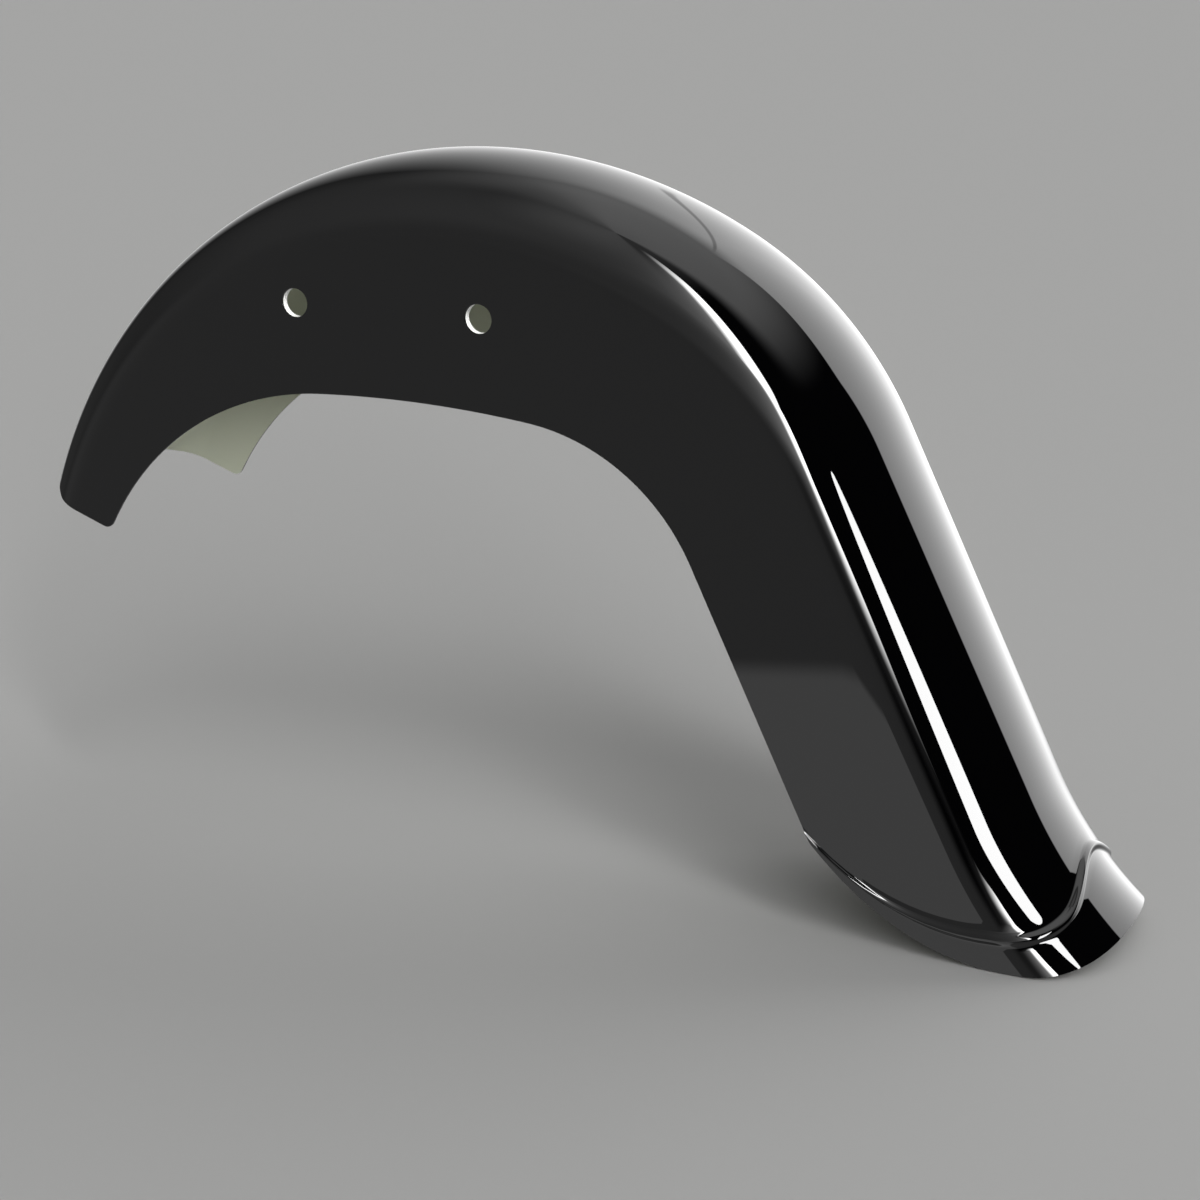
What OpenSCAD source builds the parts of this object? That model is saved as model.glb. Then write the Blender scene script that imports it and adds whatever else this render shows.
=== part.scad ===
// Motorcycle rear fender
// One pressed steel shell: a domed crown with rounded shoulders and flat side panels.
// It follows the wheel, runs down straight behind it and kicks out at the tail,
// where a raised bead runs right round above a plain lip.
// X points to the rear of the machine, Z up, and the strut holes lie on the line Z = 0.

/* [Section] */
// Width over the two flat side panels
width = 190; // [165:1:225]
// Height of the crown's arc above the tops of the shoulders
crown_rise = 28; // [20:1:36]
// Outside radius of the shoulder between crown and side panel
shoulder_r = 32; // [22:1:42]
// Thickness of the pressed sheet
sheet = 1.6; // [1.2:0.1:2.5]

/* [Arch over the wheel] */
// Radius of the crown line over the wheel
arch_r = 422; // [395:1:450]
// Where the centre of the arch lies behind the middle of the strut holes
arch_centre_x = 43; // [25:1:60]
// Height of the crown's top above the strut holes
crown_height = 112; // [105:1:120]
// Direction from the arch centre to the front end of the crown, above the rear
front_angle = 160.5; // [150:0.5:168]
// Direction from the arch centre to the point where the rear bend starts
bend_angle = 61; // [55:0.5:68]
// Depth of the side panel at the front end, from the crown line
front_depth = 96; // [80:1:120]
// Radius on the lower front corner of each side panel
front_corner_r = 8; // [4:1:14]

/* [Tail] */
// Radius of the bend between the arch and the straight run
bend_r = 309; // [250:1:380]
// Angle that this bend turns the crown line down
bend_turn_angle = 34.5; // [28:0.5:40]
// Length of the straight run behind the wheel
straight_run = 284; // [200:1:340]
// Radius of the kick that turns the tail outwards
kick_r = 300; // [220:1:400]
// Angle that the kick turns the crown line back
kick_turn_angle = 22; // [14:0.5:30]
// Distance of the panel's lower corner ahead of the tail's end
corner_run = 203; // [185:1:225]
// Depth of the panel's lower corner below the crown line at the tail's end
corner_depth = 110; // [95:1:125]
// How far the tail's edge sweeps forward between crown and shoulder
edge_sweep = 28; // [10:1:36]
// Fullness of the edge's curve on the side panel
edge_belly = 42; // [25:1:55]

/* [Bead] */
// Width of the raised bead
bead_w = 11; // [7:0.5:14]
// Height of the raised bead
bead_h = 3; // [1.5:0.25:4]
// Width of the lip between the bead's middle line and the tail's edge
lip_w = 37; // [30:1:48]
// How much further forward the bead arches at the middle of the crown
bead_arch = 23; // [0:1:32]
// Width over which the bead arches
bead_arch_w = 140; // [100:2:170]
// How far the bead sweeps forward between the arch and the shoulder's foot
bead_sweep = 19; // [8:1:26]
// Fullness of the bead's curve on the side panel
bead_belly = 33; // [20:1:45]
// Length of crown ahead of the bead over which the shell's rows take the bead's line
bead_blend_len = 344; // [250:2:420]
// Width of the lip's end under the bead at the panel's corner
lip_end = 3.5; // [2:0.5:8]

/* [Side panel edge] */
// Distance of the panel's edge below the strut holes
flange_drop = 67; // [45:1:85]
// Radius of the nearly level edge below the strut holes
flange_r = 1015; // [700:5:1500]
// How far this edge reaches ahead of the middle of the holes
flange_front = 60; // [50:1:85]
// How far this edge reaches behind the middle of the holes
flange_rear = 118; // [95:1:135]
// Radius where the edge turns down behind the strut holes
relief_r = 167; // [120:1:200]

/* [Strut fixing] */
// Distance between the two strut holes of a side panel
hole_spacing = 157; // [110:1:190]
// Diameter of each strut hole and of its bush
hole_d = 22; // [10:0.5:28]
// Wall of the bush welded behind each hole
bush_wall = 5; // [3:0.5:8]
// How far each bush stands in from the side panel
bush_depth = 6; // [3:0.5:12]

/* [Hidden] */

// Number of steps in each stretch of the shell's grid
crown_steps = 8;
shoulder_steps = 5;
panel_steps = 6;
corner_steps = 3;
body_steps = 40;
bead_steps = 6;
lip_steps = 4;

// Section of the channel: arc of the crown, then arc of the shoulder, then the flat panel
half_w = width / 2;
shoulder_y = half_w - shoulder_r;
crown_half_angle = 2 * atan2(crown_rise, shoulder_y);
crown_r = shoulder_y / sin(crown_half_angle) + shoulder_r;
shoulder_n = -crown_r + (crown_r - shoulder_r) * cos(crown_half_angle);
crown_len = crown_r * crown_half_angle * PI / 180;
section_len = crown_len + shoulder_r * (90 - crown_half_angle) * PI / 180;

// A stretch is [x, z, heading, turn in degrees, length], with turns to the left positive
function dir(a) = [cos(a), sin(a)];
function arc_len(r, turn) = r * abs(turn) * PI / 180;
function move(g, l) = g[3] == 0
    ? [g[0] + l * cos(g[2]), g[1] + l * sin(g[2]), g[2]]
    : let (turned = g[3] * l / g[4], r = g[4] * 180 / PI / g[3], h = g[2] + turned)
      [g[0] + r * (sin(h) - sin(g[2])), g[1] - r * (cos(h) - cos(g[2])), h];
function along(path, l, i = 0) = l <= path[i][4] || i == len(path) - 1
    ? move(path[i], l)
    : along(path, l - path[i][4], i + 1);
function path_len(path, i = 0) = i == len(path) ? 0 : path[i][4] + path_len(path, i + 1);
function after(g, turn, l) = let (p = move(g, g[4])) [p[0], p[1], p[2], turn, l];
function smooth(x) = let (c = min(1, max(0, x))) c * c * (3 - 2 * c);

// Crown line of the shell, from the front end to the tail's end
arch_centre = [arch_centre_x, crown_height - arch_r];
crown_start = arch_centre + arch_r * dir(front_angle);
arch_turn = bend_angle - front_angle;
run_1 = [crown_start[0], crown_start[1], front_angle - 90, arch_turn, arc_len(arch_r, arch_turn)];
run_2 = after(run_1, -bend_turn_angle, arc_len(bend_r, bend_turn_angle));
run_3 = after(run_2, 0, straight_run);
run_4 = after(run_3, kick_turn_angle, arc_len(kick_r, kick_turn_angle));
crown_line = [run_1, run_2, run_3, run_4];
crown_line_len = path_len(crown_line);
tail = along(crown_line, crown_line_len);

// Lower corner of the side panel at the tail
tail_corner = [tail[0], tail[1]] - corner_run * dir(tail[2]) - corner_depth * dir(tail[2] + 90);

// Edge of the side panel: rounded front corner, arc up to the level edge, level edge,
// arc down behind the strut holes and straight run to the tail's corner
cut_corner = arch_centre + (arch_r - front_depth) * dir(front_angle);
level_1 = asin(flange_front / flange_r);
level_2 = -asin(flange_rear / flange_r);
flange_centre = [0, -flange_drop - flange_r];
level_start = flange_centre + flange_r * dir(90 + level_1);
level_end = flange_centre + flange_r * dir(90 + level_2);
function rise_angle(p) = 2 * atan2(level_start[1] - p[1], level_start[0] - p[0]) - level_1;
corner_turn = rise_angle(cut_corner) - (front_angle - 180);
corner_tangent = front_corner_r * tan(corner_turn / 2);
corner_start = cut_corner + corner_tangent * dir(front_angle);
corner_end = cut_corner + corner_tangent * dir(rise_angle(cut_corner));
rise_turn = level_1 - rise_angle(corner_end);
rise_r = norm(level_start - corner_end) / 2 / sin(abs(rise_turn) / 2);
relief_centre = level_end + relief_r * dir(level_2 - 90);
to_corner = tail_corner - relief_centre;
relief_heading = atan2(to_corner[1], to_corner[0]) + acos(relief_r / norm(to_corner)) - 90;
relief_turn = relief_heading - level_2;
relief_end = relief_centre + relief_r * dir(relief_heading + 90);
edge_1 = [corner_start[0], corner_start[1], front_angle - 180, corner_turn,
    arc_len(front_corner_r, corner_turn)];
edge_2 = [corner_end[0], corner_end[1], rise_angle(corner_end), rise_turn,
    arc_len(rise_r, rise_turn)];
edge_3 = [level_start[0], level_start[1], level_1, level_2 - level_1,
    arc_len(flange_r, level_2 - level_1)];
edge_4 = [level_end[0], level_end[1], level_2, relief_turn, arc_len(relief_r, relief_turn)];
edge_5 = [relief_end[0], relief_end[1], relief_heading, 0, norm(tail_corner - relief_end)];
panel_edge = [edge_1, edge_2, edge_3, edge_4, edge_5];
panel_edge_len = path_len(panel_edge);

// Bead and tail edge, as distances ahead of the tail's end at u along the section
bead_arch_half = bead_arch_w / 2;
foot = section_len - bead_arch_half;
function bead_at(u) = crown_line_len - lip_w
    - (u < bead_arch_half ? bead_arch * (1 + cos(180 * u / bead_arch_half)) / 2
                          : bead_sweep * pow((u - bead_arch_half) / foot, 2));
function bead_slope(u) = u < bead_arch_half
    ? bead_arch * PI / 2 / bead_arch_half * sin(180 * u / bead_arch_half)
    : -2 * bead_sweep * (u - bead_arch_half) / foot / foot;
function bead_stretch(u) = sqrt(1 + pow(bead_slope(u), 2));
function edge_at(u) = crown_line_len - edge_sweep * pow(u / section_len, 3.4);
bead_half = bead_w / 2;
bead_centre = bead_at(0);
bead_end_half = bead_half * 0.7;
bead_edge_start = panel_edge_len - lip_end - 2 * bead_end_half;

// Rows run across the shell, each as [crown distance, share of the bead's shape, offset from
// the bead's middle line, share of the lip, distance along the panel edge, belly, lift]
function lift(x) = bead_h * (1 + cos(180 * x / bead_half)) / 2;
corner_rows = [for (k = [0:corner_steps]) let (f = k / corner_steps)
    [f * corner_tangent, 0, 0, 0, f * edge_1[4], 0, 0]];
body_rows = [for (k = [1:body_steps]) let (f = k / body_steps,
        s = corner_tangent + f * (bead_centre - corner_tangent),
        w = smooth(1 - (bead_centre - s) / bead_blend_len))
    [s, w, -bead_half * w, 0, edge_1[4] + f * (bead_edge_start - edge_1[4]), bead_belly * w, 0]];
bead_rows = [for (k = [1:bead_steps]) let (f = k / bead_steps, x = bead_w * f - bead_half)
    [bead_centre, 1, x, 0, bead_edge_start + f * 2 * bead_end_half, bead_belly, lift(x)]];
lip_rows = [for (k = [1:lip_steps]) let (f = k / lip_steps)
    [bead_centre, 1, bead_half, f, panel_edge_len - (1 - f) * lip_end,
        bead_belly + f * (edge_belly - bead_belly), 0]];
rows = concat(corner_rows, body_rows, bead_rows, lip_rows);

// Distance along the crown line where a row crosses the section at u
function row_at(row, u) = let (s = row[0] + row[1] * (bead_at(u) - bead_centre) + row[2] * bead_stretch(u))
    s + row[3] * (edge_at(u) - s);

// Point of the section at angle a, raised by d, placed on the crown line for this row
function section_point(row, a, d) =
    let (on_crown = a <= crown_half_angle,
         u = on_crown ? crown_r * a * PI / 180
                      : crown_len + shoulder_r * (a - crown_half_angle) * PI / 180,
         y = on_crown ? (crown_r + d) * sin(a) : shoulder_y + (shoulder_r + d) * sin(a),
         n = on_crown ? -crown_r + (crown_r + d) * cos(a) : shoulder_n + (shoulder_r + d) * cos(a),
         p = along(crown_line, row_at(row, u)),
         q = [p[0], p[1]] + n * dir(p[2] + 90))
    [q[0], y, q[1]];

// Point of the flat panel at share v of the way from the shoulder's foot to the edge
function panel_point(row, v, d) =
    let (p = along(crown_line, row_at(row, section_len)),
         a = [p[0], p[1]] + shoulder_n * dir(p[2] + 90),
         e = along(panel_edge, row[4]),
         b = [e[0], e[1]],
         t = (b - a) / norm(b - a),
         c = (a + b) / 2 + row[5] * [-t[1], t[0]] - 0.3 * row[5] * t,
         q = (1 - v) * (1 - v) * a + 2 * v * (1 - v) * c + v * v * b)
    [q[0], half_w + d, q[1]];

// One row of the shell from the crown's middle to the panel's edge, raised by d
section_angles = concat([for (k = [0:crown_steps]) crown_half_angle * k / crown_steps],
    [for (k = [1:shoulder_steps]) crown_half_angle + (90 - crown_half_angle) * k / shoulder_steps]);
function half_row(row, d) = concat(
    [for (a = section_angles) section_point(row, a, d + row[6])],
    [for (k = [1:panel_steps]) let (v = k / panel_steps)
        panel_point(row, v, d + row[6] * (1 - 0.65 * pow(v, 6)))]);
function full_row(row, d) = let (h = half_row(row, d), n = len(h) - 1)
    concat([for (k = [n:-1:1]) [h[k][0], -h[k][1], h[k][2]]], h);

// Pressed shell, as two skins with the edges of the sheet between them
function shell_points() = [for (d = [0, -sheet]) for (row = rows) each full_row(row, d)];
across = 2 * (crown_steps + shoulder_steps + panel_steps);
columns = across + 1;
last = len(rows) - 1;
skin = columns * len(rows);
function split(a, b, c, d) = [[a, b, c], [a, c, d]];
function shell_faces() = concat(
    [for (i = [0:last - 1]) for (j = [0:across - 1]) let (a = i * columns + j)
        each split(a, a + columns, a + columns + 1, a + 1)],
    [for (i = [0:last - 1]) for (j = [0:across - 1]) let (a = skin + i * columns + j)
        each split(a, a + 1, a + columns + 1, a + columns)],
    [for (j = [0:across - 1]) each split(j, j + 1, skin + j + 1, skin + j)],
    [for (j = [0:across - 1]) let (a = last * columns + j)
        each split(a + 1, a, skin + a, skin + a + 1)],
    [for (i = [0:last - 1]) let (a = i * columns)
        each split(a + columns, a, skin + a, skin + a + columns)],
    [for (i = [0:last - 1]) let (a = i * columns + across)
        each split(a, a + columns, skin + a + columns, skin + a)]);

module shell() {
    polyhedron(points = shell_points(), faces = shell_faces(), convexity = 8);
}

// Cylinder along Y from y0 to y1 on a strut hole's axis
module on_hole(x, y0, y1, d) {
    translate([x, y0, 0])
        rotate([-90, 0, 0])
            cylinder(h = y1 - y0, d = d, $fn = 48);
}

module fender() {
    color([0.07, 0.07, 0.08])
        difference() {
            shell();
            for (x = [-1, 1] * hole_spacing / 2)
                on_hole(x, -half_w - sheet, half_w + sheet, hole_d);
        }
}

// Bush ring behind one strut hole, seated on the inner face of the right-hand panel
module bush(x) {
    seat = half_w - sheet;
    difference() {
        on_hole(x, seat - bush_depth, seat, hole_d + 2 * bush_wall);
        on_hole(x, seat - bush_depth - 1, seat + 1, hole_d);
    }
}

module strut_bushes() {
    color("silver")
        for (x = [-1, 1] * hole_spacing / 2) {
            bush(x);
            mirror([0, 1, 0])
                bush(x);
        }
}

fender();
strut_bushes();
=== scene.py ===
import math
from collections import namedtuple

import bmesh
import bpy
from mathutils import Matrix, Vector


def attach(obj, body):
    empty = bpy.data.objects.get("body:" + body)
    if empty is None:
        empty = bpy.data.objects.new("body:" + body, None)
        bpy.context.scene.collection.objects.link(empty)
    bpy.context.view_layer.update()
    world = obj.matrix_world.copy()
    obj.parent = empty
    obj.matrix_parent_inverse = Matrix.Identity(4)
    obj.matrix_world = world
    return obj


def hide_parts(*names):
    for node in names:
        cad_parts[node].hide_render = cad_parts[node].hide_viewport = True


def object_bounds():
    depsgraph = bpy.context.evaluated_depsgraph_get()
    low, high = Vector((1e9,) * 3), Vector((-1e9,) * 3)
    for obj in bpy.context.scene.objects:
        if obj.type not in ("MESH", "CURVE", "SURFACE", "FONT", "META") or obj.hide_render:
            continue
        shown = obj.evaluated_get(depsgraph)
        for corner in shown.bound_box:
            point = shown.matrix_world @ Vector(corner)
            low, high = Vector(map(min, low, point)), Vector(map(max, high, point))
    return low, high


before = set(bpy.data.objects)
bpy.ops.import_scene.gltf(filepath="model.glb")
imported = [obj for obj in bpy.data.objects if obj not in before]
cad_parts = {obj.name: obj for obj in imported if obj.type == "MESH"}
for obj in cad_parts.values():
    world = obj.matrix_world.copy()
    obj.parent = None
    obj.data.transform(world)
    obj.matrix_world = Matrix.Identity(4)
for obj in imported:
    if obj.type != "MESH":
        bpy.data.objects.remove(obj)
cad_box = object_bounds()

bl_info = {
    "name": "Rear fender",
    "version": (1, 0, 0),
    "blender": (4, 5, 0),
    "location": "View3D > Sidebar > Fender",
    "description": "Builds a pressed motorcycle rear fender, its strut bushes "
                   "and a plain studio",
    "category": "Add Mesh",
}

MM = 0.001
UP = math.pi / 2
DEGREE = 180 / math.pi

# Steps along the shell: body, bead, lip and front corner
BODY_STEPS, BEAD_STEPS, LIP_STEPS, CORNER_STEPS = 210, 12, 10, 6
# Steps across half of the shell: crown, shoulder and side panel
CROWN_STEPS, SHOULDER_STEPS, PANEL_STEPS = 26, 18, 12
# Last lines before the cut edges, which keep their rounding from tilting the shading
LIP_RIM, PANEL_RIM = 0.97, 0.985
# Steps round a hole and a bush, and across the rounding of a cut edge
ROUND_STEPS, EDGE_STEPS = 72, 2
# Least angle of the sheet's cut edges before they are rounded
CUT_EDGE = math.radians(60)
# Least angle of the edges that stay crisp in the shading of the shell and of the bushes
CRISP_SHELL, CRISP_BUSH = math.radians(20), math.radians(30)

# How late the tail's edge sweeps forward on its way to the shoulder
SWEEP_POWER = 3.4
# How far the belly of the panel's rows leans towards the crown
BELLY_LEAN = 0.3
# How the bead sinks towards the panel's edge, and its width there
BEAD_SINK, BEAD_SINK_POWER, BEAD_END = 0.65, 6, 0.7

Stretch = namedtuple("Stretch", "start angle turned run")
Row = namedtuple("Row", "along blend offset lip edge belly lift")


def length(name, value, about):
    """A length property in millimetres, kept in metres."""
    return bpy.props.FloatProperty(
        name=name, description=about, default=value * MM, min=0.0, precision=4,
        subtype="DISTANCE", unit="LENGTH")


def turn(name, value, about):
    """An angle property given in degrees."""
    return bpy.props.FloatProperty(
        name=name, description=about, default=math.radians(value),
        subtype="ANGLE", unit="ROTATION")


def share(name, value, about):
    """A plain number from 0 to 1."""
    return bpy.props.FloatProperty(
        name=name, description=about, default=value, min=0.0, max=1.0, subtype="FACTOR")


def level(name, value, about):
    """A level of light."""
    return bpy.props.FloatProperty(name=name, description=about, default=value, min=0.0)


def colour(name, value, about):
    """A colour property."""
    return bpy.props.FloatVectorProperty(
        name=name, description=about, default=value, size=3, min=0.0, max=1.0, subtype="COLOR")


class FenderSizes(bpy.types.PropertyGroup):
    """Sizes of the pressed shell."""

    width: length("Width", 190, "Width over the two flat side panels")
    crown_rise: length("Crown rise", 28, "Height of the crown's arc above the shoulders")
    shoulder_r: length("Shoulder radius", 32, "Outside radius between crown and side panel")
    sheet: length("Sheet", 1.6, "Thickness of the pressed sheet")
    arch_r: length("Arch radius", 422, "Radius of the crown line over the wheel")
    arch_centre_x: length("Arch centre", 43, "Arch centre behind the middle of the strut holes")
    crown_height: length("Crown height", 112, "Top of the crown above the strut holes")
    front_angle: turn("Front angle", 160.5, "Direction from the arch centre to the front end")
    bend_angle: turn("Bend angle", 61, "Direction from the arch centre to the rear bend")
    front_depth: length("Front depth", 96, "Depth of the side panel at the front end")
    front_corner_r: length("Front corner", 8, "Radius on the lower front corner")
    bend_r: length("Bend radius", 309, "Radius of the bend behind the arch")
    bend_turn_angle: turn("Bend turn", 34.5, "Angle that the bend turns the crown line down")
    straight_run: length("Straight run", 284, "Straight length behind the wheel")
    kick_r: length("Kick radius", 300, "Radius of the kick at the tail")
    kick_turn_angle: turn("Kick turn", 22, "Angle that the kick turns the crown line back")
    corner_run: length("Corner run", 203, "Tail corner of the panel ahead of the tail's end")
    corner_depth: length("Corner depth", 110, "Tail corner below the crown line at the tail")
    edge_sweep: length("Edge sweep", 28, "Sweep of the tail's edge from crown to shoulder")
    edge_belly: length("Edge belly", 42, "Fullness of the edge's curve on the side panel")
    edge_round: length("Edge round", 0.45, "Rounding on the cut edges of the sheet")


class BeadSizes(bpy.types.PropertyGroup):
    """Sizes of the raised bead and the lip below it."""

    bead_w: length("Bead width", 11, "Width of the raised bead")
    bead_h: length("Bead height", 3, "Height of the raised bead")
    lip_w: length("Lip width", 37, "Lip between the bead's middle line and the edge")
    bead_arch: length("Bead arch", 23, "How far the bead arches forward at the crown")
    bead_arch_w: length("Arch width", 140, "Width over which the bead arches")
    bead_sweep: length("Bead sweep", 19, "Sweep of the bead from the arch to the shoulder")
    bead_belly: length("Bead belly", 33, "Fullness of the bead's curve on the side panel")
    bead_blend_len: length("Bead blend", 344, "Crown ahead of the bead that takes its line")
    lip_end: length("Lip end", 3.5, "Width of the lip's end at the panel's corner")


class EdgeSizes(bpy.types.PropertyGroup):
    """Sizes of the side panel's edge and of the strut holes."""

    flange_drop: length("Edge drop", 67, "Panel edge below the strut holes")
    flange_r: length("Edge radius", 1015, "Radius of the nearly level edge")
    flange_front: length("Edge front", 60, "Reach of the level edge ahead of the holes' middle")
    flange_rear: length("Edge rear", 118, "Reach of the level edge behind the holes' middle")
    relief_r: length("Relief radius", 167, "Radius where the edge turns down behind the holes")
    hole_spacing: length("Hole spacing", 157, "Distance between the two holes of a panel")
    hole_d: length("Hole diameter", 22, "Diameter of the strut holes and of the bushes")
    bush_wall: length("Bush wall", 5, "Wall of each bush")
    bush_depth: length("Bush depth", 6, "How far each bush stands in from the panel")


class FinishColours(bpy.types.PropertyGroup):
    """Colours and gloss of the finishes."""

    paint: colour("Paint", (0.0005, 0.0005, 0.0006), "Colour of the gloss paint")
    primer: colour("Primer", (0.50, 0.52, 0.42), "Colour of the bare primer inside")
    steel: colour("Bush steel", (0.86, 0.86, 0.84), "Colour of the bare bushes")
    gloss: share("Paint roughness", 0.035, "Roughness of the outside paint")
    floor: colour("Floor", (0.22, 0.22, 0.217), "Colour of the plain studio floor")


class StudioLevels(bpy.types.PropertyGroup):
    """How bright each part of the studio is."""

    walls: level("Walls", 0.16, "Middle brightness of the room's walls")
    walls_swing: level("Walls swing", 0.25, "Gain of the walls towards the left")
    walls_least: level("Walls least", 0.10, "Least brightness of the walls")
    walls_low: level("Walls low", 0.5, "Loss of the side walls near the ground")
    ceiling: level("Ceiling", 0.16, "Added light towards the ceiling")
    zenith: level("Zenith", 0.45, "Added light straight above")
    ground: level("Ground", 0.42, "Ground on the black side")
    sheet: level("Sheet", 0.65, "Pale sheet on the ground at the left")
    big_box: level("Big box", 3.6, "Large soft box behind")
    cap: level("Cap", 1.5, "Cap of light over the large box")
    seam: level("Seam", 0.45, "Loss in the seam of the large box")
    edge_core: level("Edge core", 30.0, "Bright core of the upright edge of light")
    edge_glow: level("Edge glow", 8.0, "Glow beside the upright edge of light")
    strip: level("Strip", 24.0, "Strip lamp behind the crown")
    bore_watts: level("Bore lamp", 60.0, "Power of the lamp on the bushes' bores")
    backdrop: level("Backdrop", 0.5, "Backdrop beyond the floor")


GROUPS = {"fender_sizes": FenderSizes, "bead_sizes": BeadSizes, "edge_sizes": EdgeSizes,
          "finish_colours": FinishColours, "studio_levels": StudioLevels}


def sizes():
    """All length and angle settings of the three size groups by name."""
    out = {}
    for group in ("fender_sizes", "bead_sizes", "edge_sizes"):
        for key in GROUPS[group].__annotations__:
            out[key] = getattr(getattr(bpy.context.scene, group), key)
    return out


def smooth(x):
    """Smooth step from 0 to 1."""
    x = min(1.0, max(0.0, x))
    return x * x * (3 - 2 * x)


def heading(angle):
    """Unit step in the side view at an angle above the rear."""
    return Vector((math.cos(angle), math.sin(angle)))


def heading_3d(azimuth, elevation):
    """Unit step towards an azimuth counted from the rear and an elevation."""
    level_step = math.cos(elevation)
    return Vector((math.cos(azimuth) * level_step, math.sin(azimuth) * level_step,
                   math.sin(elevation)))


class Path:
    """A line in the side view made of straight and round stretches."""

    def __init__(self):
        self.parts = []

    def add(self, start, angle, turned, run):
        """Add a stretch and give the place and heading at its end."""
        self.parts.append(Stretch(start, angle, turned, run))
        return self.at(self.length())

    def length(self):
        return sum(part.run for part in self.parts)

    def at(self, s):
        """Place and heading at distance s along the line."""
        for part in self.parts[:-1]:
            if s <= part.run:
                break
            s -= part.run
        else:
            part = self.parts[-1]
        if abs(part.turned) < 1e-9:
            return part.start + s * heading(part.angle), part.angle
        r = part.run / part.turned
        end = part.angle + s / r
        return part.start + r * (heading(end - UP) - heading(part.angle - UP)), end


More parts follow.
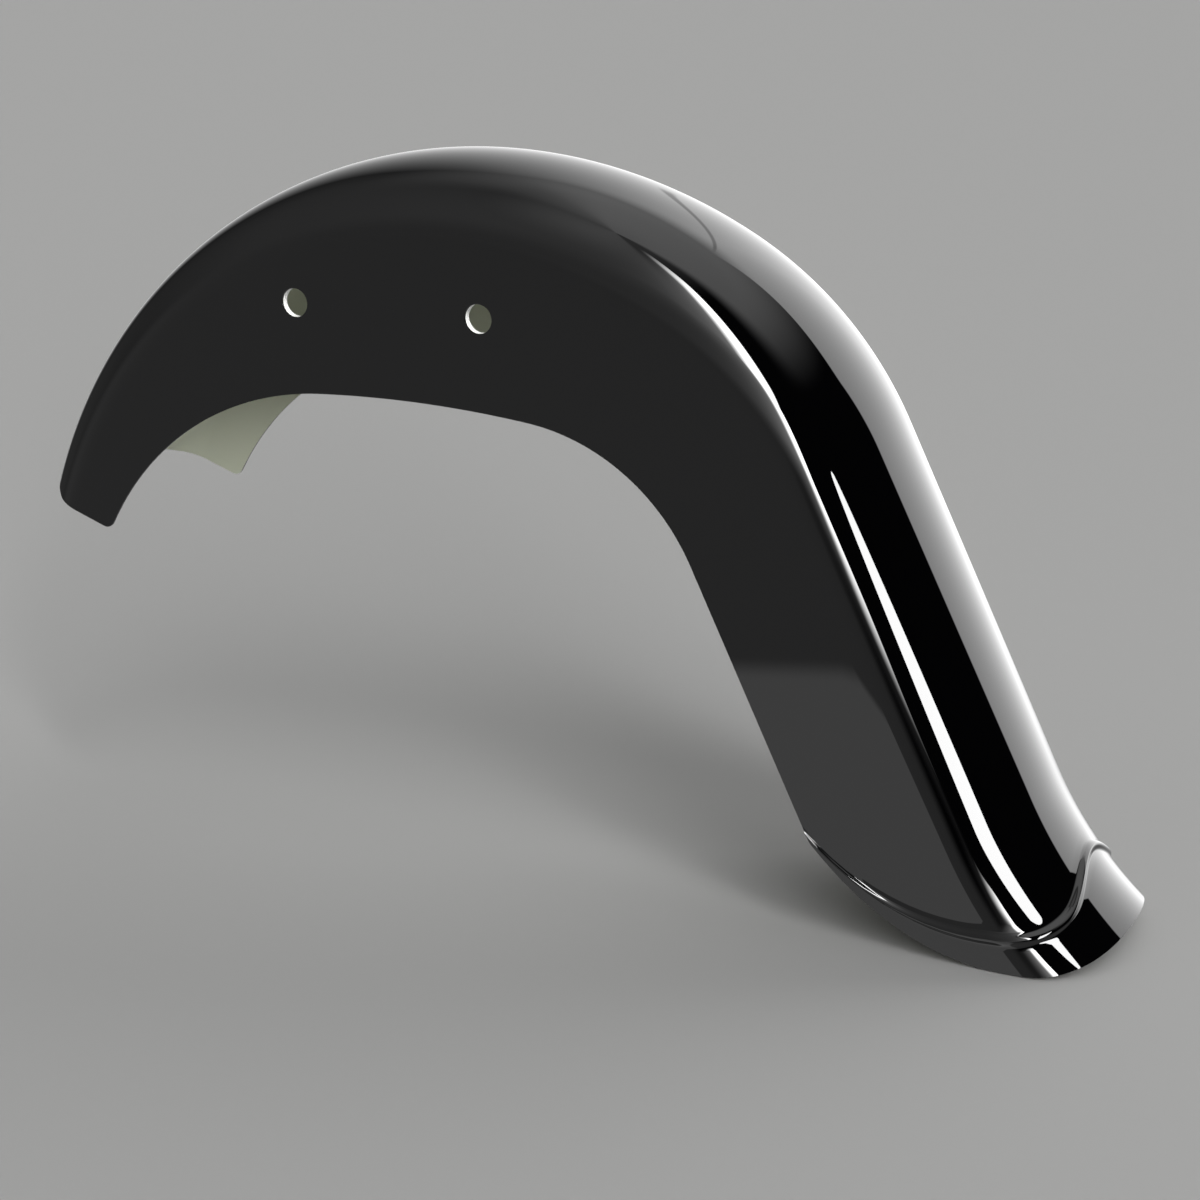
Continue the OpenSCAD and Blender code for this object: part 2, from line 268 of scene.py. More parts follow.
class ShellShape:
    """The rule that the pressed shell follows, from its named sizes."""

    def __init__(self, z):
        self.z = z
        # Section: crown arc, shoulder arc and flat panel
        self.half_w = z["width"] / 2
        self.foot_y = self.half_w - z["shoulder_r"]
        self.crown_half = 2 * math.atan2(z["crown_rise"], self.foot_y)
        self.crown_r = self.foot_y / math.sin(self.crown_half) + z["shoulder_r"]
        self.foot_n = (-self.crown_r
                       + (self.crown_r - z["shoulder_r"]) * math.cos(self.crown_half))
        self.crown_len = self.crown_r * self.crown_half
        self.section_len = self.crown_len + z["shoulder_r"] * (UP - self.crown_half)

        # Crown line in the side view, from the front end to the tail
        centre = Vector((z["arch_centre_x"], z["crown_height"] - z["arch_r"]))
        start = centre + z["arch_r"] * heading(z["front_angle"])
        arch = z["front_angle"] - z["bend_angle"]
        self.crown = Path()
        p, h = self.crown.add(start, z["front_angle"] - UP, -arch, z["arch_r"] * arch)
        p, h = self.crown.add(p, h, -z["bend_turn_angle"], z["bend_r"] * z["bend_turn_angle"])
        p, h = self.crown.add(p, h, 0.0, z["straight_run"])
        tail, tail_h = self.crown.add(p, h, z["kick_turn_angle"],
                                      z["kick_r"] * z["kick_turn_angle"])
        self.total = self.crown.length()
        corner = (tail - z["corner_run"] * heading(tail_h)
                  - z["corner_depth"] * heading(tail_h + UP))

        # Panel's edge: front corner, rise, level stretch, relief and straight to the tail
        level_1 = math.asin(z["flange_front"] / z["flange_r"])
        level_2 = -math.asin(z["flange_rear"] / z["flange_r"])
        mid = Vector((0.0, -z["flange_drop"] - z["flange_r"]))
        level_start = mid + z["flange_r"] * heading(UP + level_1)
        level_end = mid + z["flange_r"] * heading(UP + level_2)

        def rise(p):
            d = level_start - p
            return 2 * math.atan2(d.y, d.x) - level_1

        cut = centre + (z["arch_r"] - z["front_depth"]) * heading(z["front_angle"])
        corner_turn = rise(cut) - (z["front_angle"] - math.pi)
        self.tangent = z["front_corner_r"] * math.tan(corner_turn / 2)
        corner_start = cut + self.tangent * heading(z["front_angle"])
        corner_end = cut + self.tangent * heading(rise(cut))
        rise_turn = level_1 - rise(corner_end)
        rise_r = (level_start - corner_end).length / 2 / math.sin(abs(rise_turn) / 2)
        relief_mid = level_end + z["relief_r"] * heading(level_2 - UP)
        d = corner - relief_mid
        relief_h = math.atan2(d.y, d.x) + math.acos(z["relief_r"] / d.length) - UP
        relief_end = relief_mid + z["relief_r"] * heading(relief_h + UP)
        self.edge = Path()
        self.edge.add(corner_start, z["front_angle"] - math.pi, corner_turn,
                      z["front_corner_r"] * corner_turn)
        self.edge.add(corner_end, rise(corner_end), rise_turn, rise_r * abs(rise_turn))
        self.edge.add(level_start, level_1, level_2 - level_1,
                      z["flange_r"] * (level_1 - level_2))
        self.edge.add(level_end, level_2, relief_h - level_2,
                      z["relief_r"] * (level_2 - relief_h))
        self.edge.add(relief_end, relief_h, 0.0, (corner - relief_end).length)
        self.edge_total = self.edge.length()
        self.corner_run = self.edge.parts[0].run

        # Bead round the tail
        self.bead_half = z["bead_w"] / 2
        self.bead_mid = self.bead_at(0.0)
        self.end_half = self.bead_half * BEAD_END
        self.bead_edge = self.edge_total - z["lip_end"] - 2 * self.end_half

    def bead_at(self, u):
        """Distance along the crown line of the bead's middle line at u round the section."""
        z = self.z
        half = z["bead_arch_w"] / 2
        if u < half:
            back = z["bead_arch"] * (1 + math.cos(math.pi * u / half)) / 2
        else:
            back = z["bead_sweep"] * ((u - half) / (self.section_len - half)) ** 2
        return self.total - z["lip_w"] - back

    def bead_stretch(self, u):
        """How much wider the bead is along the crown line where it runs aslant."""
        step = 1e-4
        slope = (self.bead_at(u + step) - self.bead_at(max(0.0, u - step))) / step / 2
        return math.sqrt(1 + slope * slope)

    def edge_at(self, u):
        """Distance along the crown line of the tail's edge at u round the section."""
        return self.total - self.z["edge_sweep"] * (u / self.section_len) ** SWEEP_POWER

    def rows(self):
        """Rows across the shell, each with its distance along the crown line, its share of
        the bead's line, its offset from the bead, its share of the lip, its distance along
        the panel's edge, its belly and its lift."""
        z = self.z
        out = []
        for k in range(CORNER_STEPS + 1):
            f = k / CORNER_STEPS
            out.append(Row(f * self.tangent, 0, 0, 0, f * self.corner_run, 0, 0))
        for k in range(1, BODY_STEPS + 1):
            f = k / BODY_STEPS
            s = self.tangent + f * (self.bead_mid - self.tangent)
            w = smooth(1 - (self.bead_mid - s) / z["bead_blend_len"])
            e = self.corner_run + f * (self.bead_edge - self.corner_run)
            out.append(Row(s, w, -self.bead_half * w, 0, e, z["bead_belly"] * w, 0))
        for k in range(1, BEAD_STEPS + 1):
            f = k / BEAD_STEPS
            x = z["bead_w"] * f - self.bead_half
            lift = z["bead_h"] * (1 + math.cos(math.pi * x / self.bead_half)) / 2
            out.append(Row(self.bead_mid, 1, x, 0, self.bead_edge + f * 2 * self.end_half,
                           z["bead_belly"], lift))
        for f in [k / LIP_STEPS for k in range(1, LIP_STEPS)] + [LIP_RIM, 1.0]:
            belly = z["bead_belly"] + f * (z["edge_belly"] - z["bead_belly"])
            out.append(Row(self.bead_mid, 1, self.bead_half, f,
                           self.edge_total - (1 - f) * z["lip_end"], belly, 0))
        return out

    def row_at(self, row, u):
        """Distance of a row along the crown line at u round the section."""
        s = (row.along + row.blend * (self.bead_at(u) - self.bead_mid)
             + row.offset * self.bead_stretch(u))
        return s + row.lip * (self.edge_at(u) - s)

    def half_row(self, row, d):
        """Points of one row from the crown's middle to the panel's edge, raised by d."""
        z = self.z
        out = []
        angles = [self.crown_half * k / CROWN_STEPS for k in range(CROWN_STEPS + 1)]
        angles += [self.crown_half + (UP - self.crown_half) * k / SHOULDER_STEPS
                   for k in range(1, SHOULDER_STEPS + 1)]
        lift = d + row.lift
        for a in angles:
            if a <= self.crown_half + 1e-9:
                u, r = self.crown_r * a, self.crown_r + lift
                y, n = r * math.sin(a), -self.crown_r + r * math.cos(a)
            else:
                u = self.crown_len + z["shoulder_r"] * (a - self.crown_half)
                r = z["shoulder_r"] + lift
                y, n = self.foot_y + r * math.sin(a), self.foot_n + r * math.cos(a)
            p, h = self.crown.at(self.row_at(row, u))
            p = p + n * heading(h + UP)
            out.append((p.x, y, p.y))
        p, h = self.crown.at(self.row_at(row, self.section_len))
        top = p + self.foot_n * heading(h + UP)
        hem = self.edge.at(row.edge)[0]
        down = (hem - top).normalized()
        pull = ((top + hem) / 2 + row.belly * Vector((-down.y, down.x))
                - BELLY_LEAN * row.belly * down)
        for v in [k / PANEL_STEPS for k in range(1, PANEL_STEPS)] + [PANEL_RIM, 1.0]:
            q = (1 - v) ** 2 * top + 2 * v * (1 - v) * pull + v * v * hem
            raised = row.lift * (1 - BEAD_SINK * v ** BEAD_SINK_POWER)
            out.append((q.x, self.half_w + d + raised, q.y))
        return out


def as_mesh(bm, name):
    """The bmesh as a mesh; the bmesh is freed."""
    mesh = bpy.data.meshes.new(name)
    bm.to_mesh(mesh)
    bm.free()
    return mesh


def shell_mesh(shape):
    """The pressed shell as one closed grid of two skins, with its cut edges rounded."""
    rows = shape.rows()
    skins = []
    for d in (0.0, -shape.z["sheet"]):
        skin = []
        for row in rows:
            half = shape.half_row(row, d)
            skin.append([(x, -y, z) for x, y, z in half[:0:-1]] + half)
        skins.append(skin)
    bm = bmesh.new()
    grid = [[[bm.verts.new(p) for p in line] for line in skin] for skin in skins]
    across = len(grid[0][0]) - 1
    last = len(rows) - 1
    outer, inner = grid
    inside = bm.faces.layers.float.new("inside")
    for i in range(last):
        for j in range(across):
            bm.faces.new((outer[i][j], outer[i + 1][j], outer[i + 1][j + 1], outer[i][j + 1]))
            face = bm.faces.new((inner[i][j], inner[i][j + 1], inner[i + 1][j + 1],
                                 inner[i + 1][j]))
            face[inside] = 1.0
    for j in range(across):
        bm.faces.new((outer[0][j], outer[0][j + 1], inner[0][j + 1], inner[0][j]))
        bm.faces.new((outer[last][j + 1], outer[last][j], inner[last][j], inner[last][j + 1]))
    for i in range(last):
        bm.faces.new((outer[i + 1][0], outer[i][0], inner[i][0], inner[i + 1][0]))
        bm.faces.new((outer[i][across], outer[i + 1][across], inner[i + 1][across],
                      inner[i][across]))
    bmesh.ops.recalc_face_normals(bm, faces=bm.faces)
    rims = [e for e in bm.edges if e.calc_face_angle(0.0) > CUT_EDGE]
    bmesh.ops.bevel(bm, geom=rims, offset=shape.z["edge_round"], segments=EDGE_STEPS,
                    profile=0.5, affect="EDGES", clamp_overlap=True)
    return as_mesh(bm, "fender_shell")


def spin(bm, line, x0=0.0, closed=False):
    """Spin a line of Y and radius about an axis along Y at x0, capped or closed to a ring."""
    turns = [math.tau * k / ROUND_STEPS for k in range(ROUND_STEPS)]
    rings = [[bm.verts.new((x0 + r * math.cos(a), y, r * math.sin(a))) for a in turns]
             for y, r in line]
    pairs = list(zip(rings, rings[1:]))
    if closed:
        pairs.append((rings[-1], rings[0]))
    for a, b in pairs:
        for k in range(ROUND_STEPS):
            n = (k + 1) % ROUND_STEPS
            bm.faces.new((a[k], b[k], b[n], a[n]))
    if not closed:
        bm.faces.new(rings[0])
        bm.faces.new(list(reversed(rings[-1])))
    bmesh.ops.recalc_face_normals(bm, faces=bm.faces)


def hole_cutter(shape):
    """Two spun cutters along Y that drill the strut holes and round their rims."""
    z = shape.z
    r, t, face = z["hole_d"] / 2, z["sheet"], shape.half_w
    rim, past = 0.8 * z["edge_round"], 2 * MM
    bend = 0.3 * rim
    half = [(0.0, r), (face - t - rim, r), (face - t, r), (face - rim, r),
            (face - bend, r + bend), (face, r + rim), (face + past, r + rim)]
    line = [(-y, q) for y, q in half[:0:-1]] + half
    bm = bmesh.new()
    for side in (-1, 1):
        spin(bm, line, side * z["hole_spacing"] / 2)
    return as_mesh(bm, "hole_cutter")


def link(name, mesh):
    """A mesh object at the origin, linked to the scene."""
    piece = bpy.data.objects.new(name, mesh)
    bpy.context.collection.objects.link(piece)
    return piece


def baked(piece, name):
    """A plain mesh piece from an object's evaluated modifiers; the object is removed."""
    graph = bpy.context.evaluated_depsgraph_get()
    mesh = bpy.data.meshes.new_from_object(piece.evaluated_get(graph), depsgraph=graph)
    mesh.name = name
    bpy.data.objects.remove(piece, do_unlink=True)
    return link(name, mesh)


def shade(piece, limit):
    """Smooth shading with edges sharper than the limit kept crisp."""
    piece.data.shade_smooth()
    bm = bmesh.new()
    bm.from_mesh(piece.data)
    for e in bm.edges:
        e.smooth = e.calc_face_angle(0.0) < limit
    bm.to_mesh(piece.data)
    bm.free()


def node(tree, kind, at=(0, 0), **values):
    """A shader node with some of its settings and inputs filled in."""
    made = tree.nodes.new(kind)
    made.location = at
    for key, value in values.items():
        if hasattr(made, key):
            setattr(made, key, value)
        else:
            made.inputs[key.replace("_", " ")].default_value = value
    return made


def calc(tree, operation, *values):
    """Result of a math node whose inputs are numbers or the outputs of other nodes."""
    made = node(tree, "ShaderNodeMath", operation=operation)
    for socket, value in zip(made.inputs, values):
        if isinstance(value, (int, float)):
            socket.default_value = value
        else:
            tree.links.new(value, socket)
    return made.outputs["Value"]


def drift_group():
    """Group: a slow variation over the surface, on Object coordinates."""
    name = "Slow drift"
    old = bpy.data.node_groups.get(name)
    if old:
        return old
    tree = bpy.data.node_groups.new(name, "ShaderNodeTree")
    tree.interface.new_socket("Drift size", in_out="INPUT", socket_type="NodeSocketFloat")
    tree.interface.new_socket("Drift", in_out="OUTPUT", socket_type="NodeSocketFloat")
    inp = node(tree, "NodeGroupInput", (-700, 0))
    out = node(tree, "NodeGroupOutput", (200, 0))
    place = node(tree, "ShaderNodeTexCoord", (-700, -200))
    cloud = node(tree, "ShaderNodeTexNoise", (-400, 0), Detail=3.0)
    tree.links.new(place.outputs["Object"], cloud.inputs["Vector"])
    tree.links.new(inp.outputs["Drift size"], cloud.inputs["Scale"])
    tree.links.new(cloud.outputs["Fac"], out.inputs["Drift"])
    return tree


def new_material(name):
    """A new material with its node tree and its main shader."""
    mat = bpy.data.materials.new(name)
    mat.use_nodes = True
    return mat, mat.node_tree, mat.node_tree.nodes["Principled BSDF"]


def add_drift(tree, size):
    """The drift group placed in a material at one size; gives its output."""
    drift = node(tree, "ShaderNodeGroup", (-900, 0), node_tree=drift_group())
    drift.inputs["Drift size"].default_value = size
    return drift.outputs["Drift"]


def add_mix(tree, factor, a, b):
    """A colour that goes from a to b with the factor."""
    mix = node(tree, "ShaderNodeMix", (-300, 300), data_type="RGBA")
    mix.inputs["A"].default_value = (*a, 1)
    mix.inputs["B"].default_value = (*b, 1)
    tree.links.new(factor, mix.inputs["Factor"])
    return mix.outputs["Result"]


def add_range(tree, value, low, high):
    """A number that goes from low to high as the value goes from 0 to 1."""
    made = node(tree, "ShaderNodeMapRange", (-300, 0))
    made.inputs["To Min"].default_value = low
    made.inputs["To Max"].default_value = high
    tree.links.new(value, made.inputs["Value"])
    return made.outputs["Result"]


def add_bump(tree, bsdf, kind, strength, distance, **values):
    """Relief from a texture of a kind, on Object coordinates."""
    place = node(tree, "ShaderNodeTexCoord", (-900, -500))
    relief = node(tree, kind, (-700, -500), **values)
    tree.links.new(place.outputs["Object"], relief.inputs["Vector"])
    bump = node(tree, "ShaderNodeBump", (-300, -500), Strength=strength, Distance=distance)
    tree.links.new(relief.outputs["Fac"], bump.inputs["Height"])
    tree.links.new(bump.outputs["Normal"], bsdf.inputs["Normal"])


def paint_material(tones):
    """Deep gloss black paint outside, bare matt primer inside."""
    mat, tree, bsdf = new_material("gloss_black_paint")
    bsdf.inputs["Coat Roughness"].default_value = 0.015
    bsdf.inputs["Coat IOR"].default_value = 1.5
    bsdf.inputs["IOR"].default_value = 1.46
    bsdf.inputs["Specular IOR Level"].default_value = 0.0
    drift_gain, primer_gain = 0.02, 0.5
    inside = node(tree, "ShaderNodeAttribute", (-900, 200),
                  attribute_name="inside").outputs["Fac"]
    tree.links.new(add_range(tree, inside, 1.0, 0.0), bsdf.inputs["Coat Weight"])
    tree.links.new(add_mix(tree, inside, tones.paint, tones.primer), bsdf.inputs["Base Color"])
    rough = calc(tree, "MULTIPLY_ADD", add_drift(tree, 9.0), drift_gain, tones.gloss)
    rough = calc(tree, "MULTIPLY_ADD", inside, primer_gain, rough)
    tree.links.new(rough, bsdf.inputs["Roughness"])
    add_bump(tree, bsdf, "ShaderNodeTexNoise", 0.012, 0.0006, Scale=170.0, Detail=1.0)
    return mat


def bush_material(tones):
    """Bare dull steel with fine turning marks."""
    mat, tree, bsdf = new_material("bush_steel")
    bsdf.inputs["Metallic"].default_value = 0.35
    drift = add_drift(tree, 60.0)
    darker = [0.8 * c for c in tones.steel]
    tree.links.new(add_mix(tree, drift, tones.steel, darker), bsdf.inputs["Base Color"])
    tree.links.new(add_range(tree, drift, 0.28, 0.42), bsdf.inputs["Roughness"])
    add_bump(tree, bsdf, "ShaderNodeTexWave", 0.12, 0.0002, bands_direction="Y",
             Scale=900.0, Distortion=0.6)
    return mat


class FENDER_OT_shell(bpy.types.Operator):
    """Build the pressed shell with its bead, lip and strut holes"""

    bl_idname = "fender.shell"
    bl_label = "Pressed shell"

    def execute(self, context):
        shape = ShellShape(sizes())
        shell = link("fender_blank", shell_mesh(shape))
        cutter = link("hole_cutter", hole_cutter(shape))
        cut = shell.modifiers.new("holes", "BOOLEAN")
        cut.operation = "DIFFERENCE"
        cut.solver = "EXACT"
        cut.object = cutter
        piece = baked(shell, "fender_shell")
        bpy.data.objects.remove(cutter, do_unlink=True)
        shade(piece, CRISP_SHELL)
        piece.data.materials.clear()
        piece.data.materials.append(paint_material(context.scene.finish_colours))
        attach(piece, "root")
        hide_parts("fender")
        return {"FINISHED"}


def bush_tree(material):
    """Node tree: one turned ring at each strut hole, both panels."""
    tree = bpy.data.node_groups.new("Strut bush rings", "GeometryNodeTree")
    face = tree.interface
    face.new_socket("Geometry", in_out="OUTPUT", socket_type="NodeSocketGeometry")
    names = ("Ring profile", "Hole spacing", "Seat")
    face.new_socket(names[0], in_out="INPUT", socket_type="NodeSocketObject")
    for name in names[1:]:
        face.new_socket(name, in_out="INPUT", socket_type="NodeSocketFloat")
    inp = node(tree, "NodeGroupInput", (-900, 0))
    out = node(tree, "NodeGroupOutput", (700, 0))
    info = node(tree, "GeometryNodeObjectInfo", (-600, 200))
    tree.links.new(inp.outputs[names[0]], info.inputs["Object"])
    grid = node(tree, "GeometryNodeMeshGrid", (-600, -100))
    grid.inputs["Vertices X"].default_value = 2
    grid.inputs["Vertices Y"].default_value = 2
    tree.links.new(inp.outputs[names[1]], grid.inputs["Size X"])
    double = calc(tree, "MULTIPLY", inp.outputs[names[2]], 2.0)
    tree.links.new(double, grid.inputs["Size Y"])
    place = node(tree, "GeometryNodeInputPosition", (-600, -400))
    split = node(tree, "ShaderNodeSeparateXYZ", (-440, -400))
    tree.links.new(place.outputs["Position"], split.inputs["Vector"])
    near_side = calc(tree, "LESS_THAN", split.outputs["Y"], 0.0)
    about_face = node(tree, "ShaderNodeCombineXYZ", (40, -400))
    tree.links.new(calc(tree, "MULTIPLY", near_side, math.pi), about_face.inputs["Z"])
    put = node(tree, "GeometryNodeInstanceOnPoints", (200, 0))
    tree.links.new(grid.outputs["Mesh"], put.inputs["Points"])
    tree.links.new(info.outputs["Geometry"], put.inputs["Instance"])
    tree.links.new(about_face.outputs["Vector"], put.inputs["Rotation"])
    real = node(tree, "GeometryNodeRealizeInstances", (380, 0))
    tree.links.new(put.outputs["Instances"], real.inputs["Geometry"])
    dress = node(tree, "GeometryNodeSetMaterial", (540, 0))
    dress.inputs["Material"].default_value = material
    tree.links.new(real.outputs["Geometry"], dress.inputs["Geometry"])
    tree.links.new(dress.outputs["Geometry"], out.inputs["Geometry"])
    return tree


def ring_mesh(z):
    """One bush ring with chamfered ends, its seat at Y = 0 and its body towards -Y."""
    r, wall, deep, c = z["hole_d"] / 2, z["bush_wall"], z["bush_depth"], 0.5 * MM
    line = [(0.0, r), (0.0, r + wall), (-deep + c, r + wall), (-deep, r + wall - c),
            (-deep, r + c), (-deep + c, r)]
    bm = bmesh.new()
    spin(bm, line, closed=True)
    return as_mesh(bm, "bush_ring")


class FENDER_OT_bushes(bpy.types.Operator):
    """Set a turned bush ring behind each strut hole"""

    bl_idname = "fender.bushes"
    bl_label = "Strut bushes"

    def execute(self, context):
        z = sizes()
        material = bush_material(context.scene.finish_colours)
        ring = link("bush_ring", ring_mesh(z))
        holder = link("bush_holder", bpy.data.meshes.new("bush_holder"))
        mod = holder.modifiers.new("rings", "NODES")
        tree = bush_tree(material)
        mod.node_group = tree
        ids = {s.name: s.identifier for s in tree.interface.items_tree if s.in_out == "INPUT"}
        mod[ids["Ring profile"]] = ring
        mod[ids["Hole spacing"]] = z["hole_spacing"]
        mod[ids["Seat"]] = z["width"] / 2 - z["sheet"]
        piece = baked(holder, "strut_bush_rings")
        bpy.data.objects.remove(ring, do_unlink=True)
        if len(piece.data.vertices) == 0:
            raise RuntimeError("the bush rings came out empty")
        shade(piece, CRISP_BUSH)
        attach(piece, "root")
        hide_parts("strut_bushes")
        return {"FINISHED"}


class FENDER_OT_stage(bpy.types.Operator):
    """Lay the floor and set up the soft studio light and the camera"""

    bl_idname = "fender.stage"
    bl_label = "Studio stage"

    def execute(self, context):
        scene = context.scene
        lay_floor(scene)
        studio_light(scene)
        strip_light(scene)
        bore_light(scene)
        place_camera(scene)
        scene.view_settings.view_transform = "Standard"
        return {"FINISHED"}


def lay_floor(scene):
    """Wide plain matt floor just below the fender's lowest point."""
    radius, gap = 40.0, 1.0 * MM
    bm = bmesh.new()
    bmesh.ops.create_circle(bm, cap_ends=True, radius=radius, segments=96)
    bmesh.ops.translate(bm, verts=bm.verts, vec=(0, 0, cad_box[0][2] - gap))
    floor = link("studio_floor", as_mesh(bm, "floor"))
    mat, tree, bsdf = new_material("studio_floor")
    bsdf.inputs["Base Color"].default_value = (*scene.finish_colours.floor, 1)
    bsdf.inputs["Roughness"].default_value = 1.0
    bsdf.inputs["Specular IOR Level"].default_value = 0.0
    floor.data.materials.append(mat)
    floor.visible_glossy = False


def place_camera(scene):
    """Camera at the photograph's viewing angle."""
    target, distance = Vector((132.73, 0.0, -235.73)) * MM, 1796.5 * MM
    azimuth, elevation = math.radians(24.92), math.radians(17.83)
    cam = bpy.data.cameras.new("camera")
    cam.sensor_width = 36.0
    cam.lens = 68.34
    cam.clip_end = 200.0
    eye = bpy.data.objects.new("camera", cam)
    scene.collection.objects.link(eye)
    away = heading_3d(azimuth - UP, elevation)
    eye.location = target + distance * away
    eye.rotation_euler = (-away).to_track_quat("-Z", "Y").to_euler()
    scene.camera = eye


class Sky:
    """Nodes that build the world's light from the azimuth and elevation of each direction."""

    def __init__(self, tree):
        self.tree = tree
        place = node(tree, "ShaderNodeTexCoord", (-1600, 0))
        split = node(tree, "ShaderNodeSeparateXYZ", (-1400, 0))
        tree.links.new(place.outputs["Generated"], split.inputs["Vector"])
        x, y, z = split.outputs
        self.az = calc(tree, "MULTIPLY", calc(tree, "ARCTAN2", y, x), DEGREE)
        self.el = calc(tree, "MULTIPLY", calc(tree, "ARCSINE", z), DEGREE)

    def step(self, value, dark, lit):
        """Smooth change from 0 where the value is dark to 1 where it is lit."""
        made = node(self.tree, "ShaderNodeMapRange", interpolation_type="SMOOTHSTEP")
        made.inputs["From Min"].default_value = min(dark, lit)
        made.inputs["From Max"].default_value = max(dark, lit)
        if dark > lit:
            made.inputs["To Min"].default_value = 1.0
            made.inputs["To Max"].default_value = 0.0
        self.tree.links.new(value, made.inputs["Value"])
        return made.outputs["Result"]

    def times(self, first, *others):
        """Product of all values."""
        for value in others:
            first = calc(self.tree, "MULTIPLY", first, value)
        return first

    def plus(self, first, *others):
        """Sum of all values."""
        for value in others:
            first = calc(self.tree, "ADD", first, value)
        return first

    def less(self, a, b):
        """What is left of a after b is taken away."""
        return calc(self.tree, "SUBTRACT", a, b)

    def larger(self, a, b):
        """The larger of two values."""
        return calc(self.tree, "MAXIMUM", a, b)

    def line(self, value, slope, start):
        """Straight line with a slope from its value at 0."""
        return calc(self.tree, "MULTIPLY_ADD", value, slope, start)


def black_side(sky):
    """Share of black on the right side, wider below level."""
    behind = sky.step(sky.az, dark=150, lit=128)
    upper = sky.times(sky.step(sky.az, dark=-62, lit=-48), behind)
    lower = sky.times(sky.step(sky.az, dark=-84, lit=-66), behind,
                      sky.step(sky.el, dark=8, lit=-4))
    return sky.larger(upper, lower)


def room_light(sky, levels, black):
    """Dim room, brightest on the left and overhead, with no light on its black side."""
    brightest_az = -110
    wave = calc(sky.tree, "COSINE", sky.line(sky.az, 1 / DEGREE, -brightest_az / DEGREE))
    walls = sky.larger(sky.line(wave, levels.walls_swing, levels.walls), levels.walls_least)
    low = sky.times(levels.walls_low, sky.step(wave, dark=0.6, lit=0.1),
                    sky.step(sky.el, dark=35, lit=5))
    walls = sky.times(walls, sky.less(1.0, low))
    upper = sky.times(levels.ceiling, sky.step(sky.el, dark=20, lit=70))
    return sky.times(sky.plus(walls, upper), sky.less(1.0, black))


def sheet_light(sky, levels):
    """Pale sheet on the ground at the left, whose far edge drops towards the rear."""
    turn_az, edge_slope, edge_el = -108.5, 0.27, 19.5
    past = sky.larger(sky.plus(sky.az, -turn_az), 0.0)
    edge = sky.line(past, edge_slope, edge_el)
    return sky.times(levels.sheet, sky.step(sky.plus(sky.el, edge), dark=0.3, lit=-0.3),
                     sky.step(sky.az, dark=-150, lit=-130), sky.step(sky.az, dark=-62, lit=-72))


def box_light(sky, levels):
    """Large soft box behind, a cap of light over it and the thin dark seam in both."""
    bend_el, bend, bend_power = 33, -0.213, 1.5
    above = sky.larger(sky.less(sky.el, bend_el), 0.0)
    near_edge = sky.line(calc(sky.tree, "POWER", above, bend_power), bend, sky.az)
    dark_az, fade_span = 141, 62
    fade = sky.larger(sky.line(sky.az, -1 / fade_span, dark_az / fade_span), 0.0)
    big = sky.times(levels.big_box, sky.step(near_edge, dark=29.5, lit=30.7),
                    calc(sky.tree, "MINIMUM", fade, 1.0),
                    sky.step(sky.el, dark=70, lit=52), sky.step(sky.el, dark=-24, lit=-6))
    cap_fall = -0.35
    cap = sky.times(levels.cap, sky.step(sky.az, dark=-22, lit=-1),
                    sky.step(sky.az, dark=165, lit=104), sky.step(sky.el, dark=38, lit=66),
                    sky.line(sky.step(sky.el, dark=66, lit=96), cap_fall, 1.0))
    seam_az, seam_el, seam_bow = 106, 6, -0.0132
    rise = sky.less(sky.el, seam_el)
    off_seam = sky.less(sky.az, sky.line(sky.times(rise, rise), seam_bow, seam_az))
    seam = sky.times(sky.step(calc(sky.tree, "ABSOLUTE", off_seam), dark=1.1, lit=0.3),
                     sky.step(sky.el, dark=14, lit=22), sky.step(sky.el, dark=62, lit=56))
    return sky.times(sky.larger(big, cap), sky.line(seam, -levels.seam, 1.0))


def edge_light(sky, levels):
    """Bright upright edge of light at the left, which fades away from its sharp border."""
    border_az, middle_shift, low_shift, fade_span = -35.0, -9.5, -6.0, 12
    border = sky.plus(border_az, sky.times(middle_shift, sky.step(sky.el, dark=40, lit=14)),
                      sky.times(low_shift, sky.step(sky.el, dark=12, lit=4)))
    away = sky.larger(sky.less(border, sky.az), 0.0)
    core = sky.times(levels.edge_core, sky.step(away, dark=11.0, lit=5.0))
    glow = sky.times(levels.edge_glow,
                     calc(sky.tree, "EXPONENT", sky.times(away, -1 / fade_span)))
    return sky.times(sky.step(away, dark=0.0, lit=1.0), sky.plus(core, glow),
                     sky.step(sky.el, dark=3, lit=16), sky.step(sky.el, dark=84, lit=64))


def studio_light(scene):
    """World light that the fender's paint reflects; the camera sees a plain pale backdrop."""
    levels = scene.studio_levels
    world = bpy.data.worlds.new("studio")
    scene.world = world
    world.use_nodes = True
    tree = world.node_tree
    sky = Sky(tree)
    black = black_side(sky)
    zenith = sky.times(levels.zenith, sky.step(sky.el, dark=66, lit=86))
    ground = sky.times(levels.ground, sky.step(sky.el, dark=-14, lit=-28), black)
    light = sky.plus(room_light(sky, levels, black), zenith, ground,
                     sheet_light(sky, levels), box_light(sky, levels), edge_light(sky, levels))
    seen = node(tree, "ShaderNodeLightPath").outputs["Is Camera Ray"]
    total = sky.plus(sky.times(light, sky.less(1.0, seen)), sky.times(levels.backdrop, seen))
    back = tree.nodes["Background"]
    tree.links.new(total, back.inputs["Strength"])
    back.inputs["Color"].default_value = (1.0, 1.0, 1.0, 1.0)


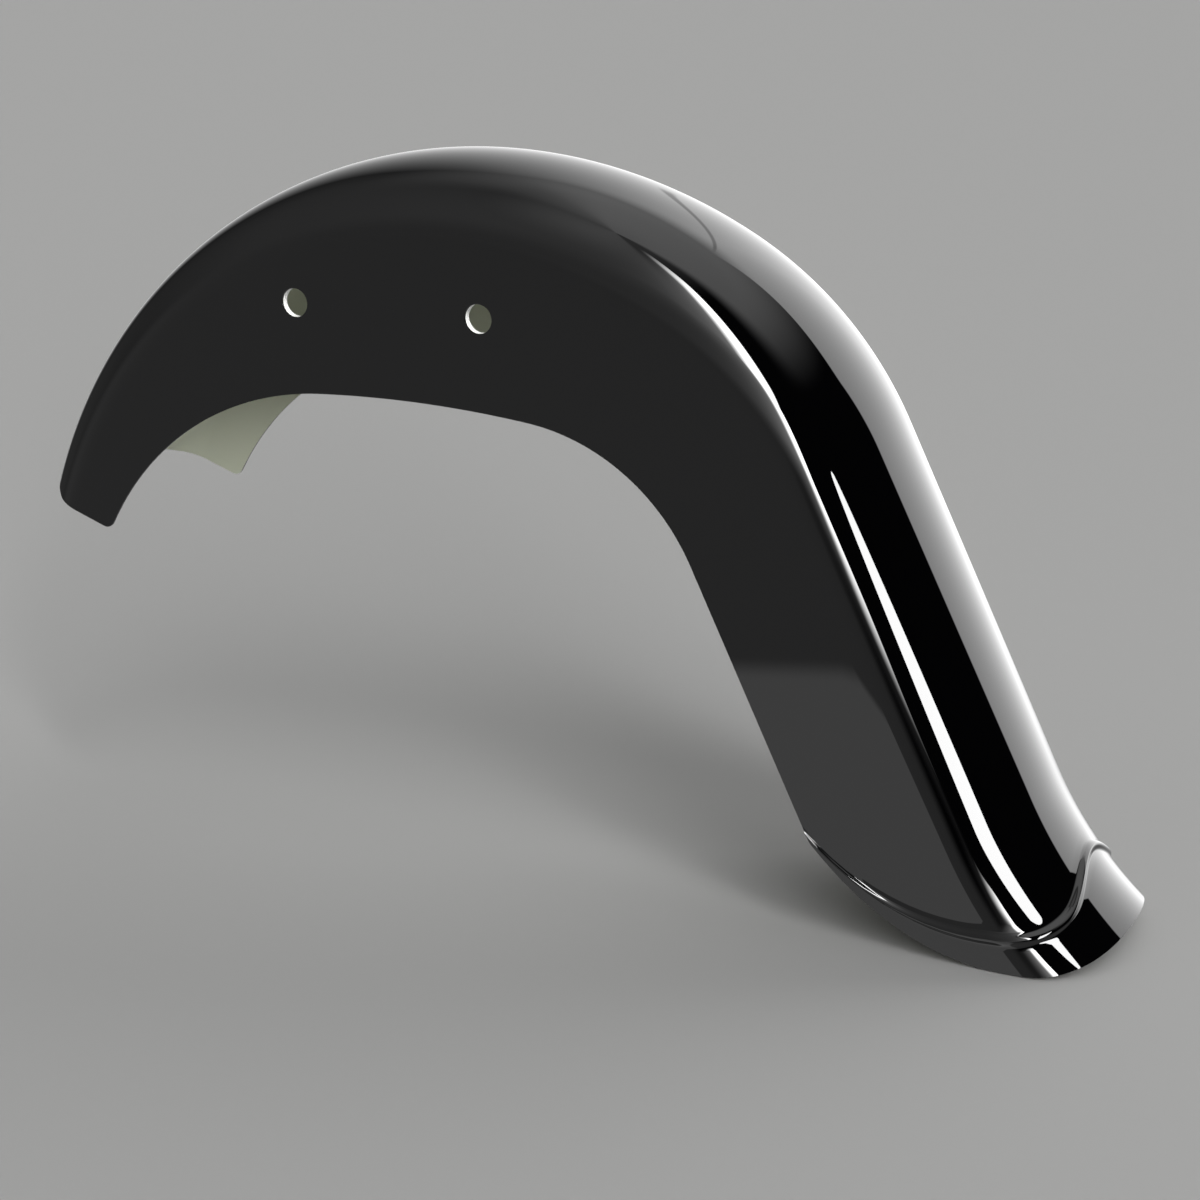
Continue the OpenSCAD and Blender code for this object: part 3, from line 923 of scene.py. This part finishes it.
def area_lamp(scene, name, size, energy, place, facing):
    """An area lamp that the camera doesn't see, turned to face along a direction."""
    light = bpy.data.lights.new(name, "AREA")
    light.size, light.size_y = size
    light.energy = energy
    lamp = bpy.data.objects.new(name, light)
    lamp.visible_camera = False
    lamp.location = place
    lamp.rotation_euler = facing.to_track_quat("-Z", "Y").to_euler()
    scene.collection.objects.link(lamp)
    return lamp


def strip_light(scene):
    """Tall narrow strip lamp behind the fender, seen only as the highlight down its crown."""
    wide, tall = size = (0.26, 1.40)
    face_area = math.pi / 4 * wide * tall
    energy = scene.studio_levels.strip * math.pi * face_area
    strip = area_lamp(scene, "strip_lamp", size, energy, Vector((1732, -555, -240)) * MM,
                      -heading_3d(math.radians(-20), 0.0))
    strip.data.shape = "ELLIPSE"
    strip.visible_diffuse = False


def bore_light(scene):
    """Side lamp that lights only the bushes, so that their bores show in the strut holes."""
    away, distance = heading_3d(math.radians(-30), math.radians(40)), 2.0
    side = area_lamp(scene, "bore_lamp", (0.5, 0.5), scene.studio_levels.bore_watts,
                     distance * away, -away)
    side.visible_glossy = False
    lit = bpy.data.collections.new("bore_lamp_lights")
    lit.objects.link(bpy.data.objects["strut_bush_rings"])
    side.light_linking.receiver_collection = lit


class FENDER_PT_panel(bpy.types.Panel):
    """Sidebar panel with the fender's pieces and settings"""

    bl_idname = "FENDER_PT_panel"
    bl_label = "Rear fender"
    bl_space_type = "VIEW_3D"
    bl_region_type = "UI"
    bl_category = "Fender"

    def draw(self, context):
        layout = self.layout
        for operator in OPERATORS:
            layout.operator(operator.bl_idname)
        for name, kind in GROUPS.items():
            box = layout.box()
            for key in kind.__annotations__:
                box.prop(getattr(context.scene, name), key)


OPERATORS = (FENDER_OT_shell, FENDER_OT_bushes, FENDER_OT_stage)
CLASSES = (*GROUPS.values(), *OPERATORS, FENDER_PT_panel)


def register():
    for cls in CLASSES:
        bpy.utils.register_class(cls)
    for name, kind in GROUPS.items():
        setattr(bpy.types.Scene, name, bpy.props.PointerProperty(type=kind))


def unregister():
    for name in GROUPS:
        delattr(bpy.types.Scene, name)
    for cls in reversed(CLASSES):
        bpy.utils.unregister_class(cls)


def main():
    register()
    bpy.ops.fender.shell()
    bpy.ops.fender.bushes()
    bpy.ops.fender.stage()


if __name__ == "__main__":
    main()
